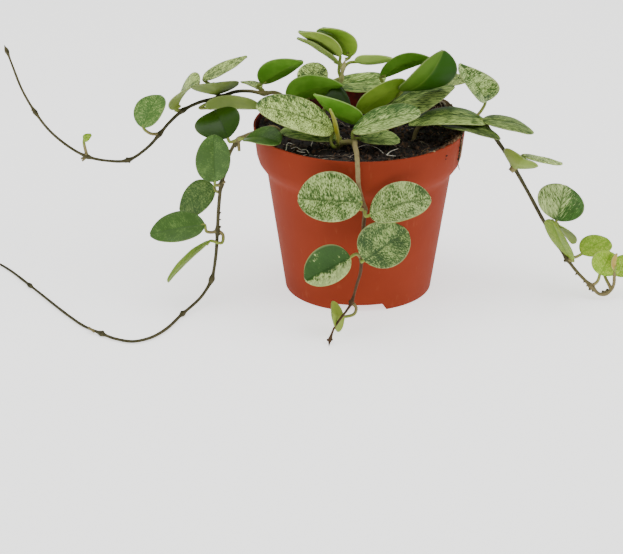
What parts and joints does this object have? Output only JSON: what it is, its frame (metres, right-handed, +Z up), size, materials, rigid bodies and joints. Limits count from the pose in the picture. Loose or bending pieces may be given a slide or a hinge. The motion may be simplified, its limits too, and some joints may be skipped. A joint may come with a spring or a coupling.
{
  "type": "potted splash hoya",
  "caption": "Trailing hoya with round, silver-flecked leaves on thin bare-ended stems, standing in a soil-filled terracotta-coloured plastic nursery pot.",
  "frame": {"origin": "centre of the pot's base, on the surface that it stands on", "axes": "+Z up along the pot's axis, +X to the viewer's right, along the longest spread of the stems, and the front vine at -Y"},
  "size_m": [0.3724, 0.148, 0.1551],
  "materials": {
    "pot_plastic": "satin injection-moulded polypropylene, terracotta red",
    "potting_soil": "rough dark peat crumbs with fibres and pale roots",
    "hoya_leaf": "waxy green leaf with silver flecks on the upper face, plain yellow-green below",
    "hoya_stem": "smooth beige-green to dark brown stem"
  },
  "bodies": {
    "root": {"pot": "pot_plastic", "soil": "potting_soil", "vine_front": "hoya_leaf", "vine_left_low": "hoya_leaf", "vine_left_high": "hoya_leaf", "vine_right": "hoya_leaf", "shoot_top": "hoya_leaf", "shoot_center": "hoya_leaf", "shoot_left": "hoya_leaf", "shoot_right": "hoya_leaf"}
  },
  "joints": []
}
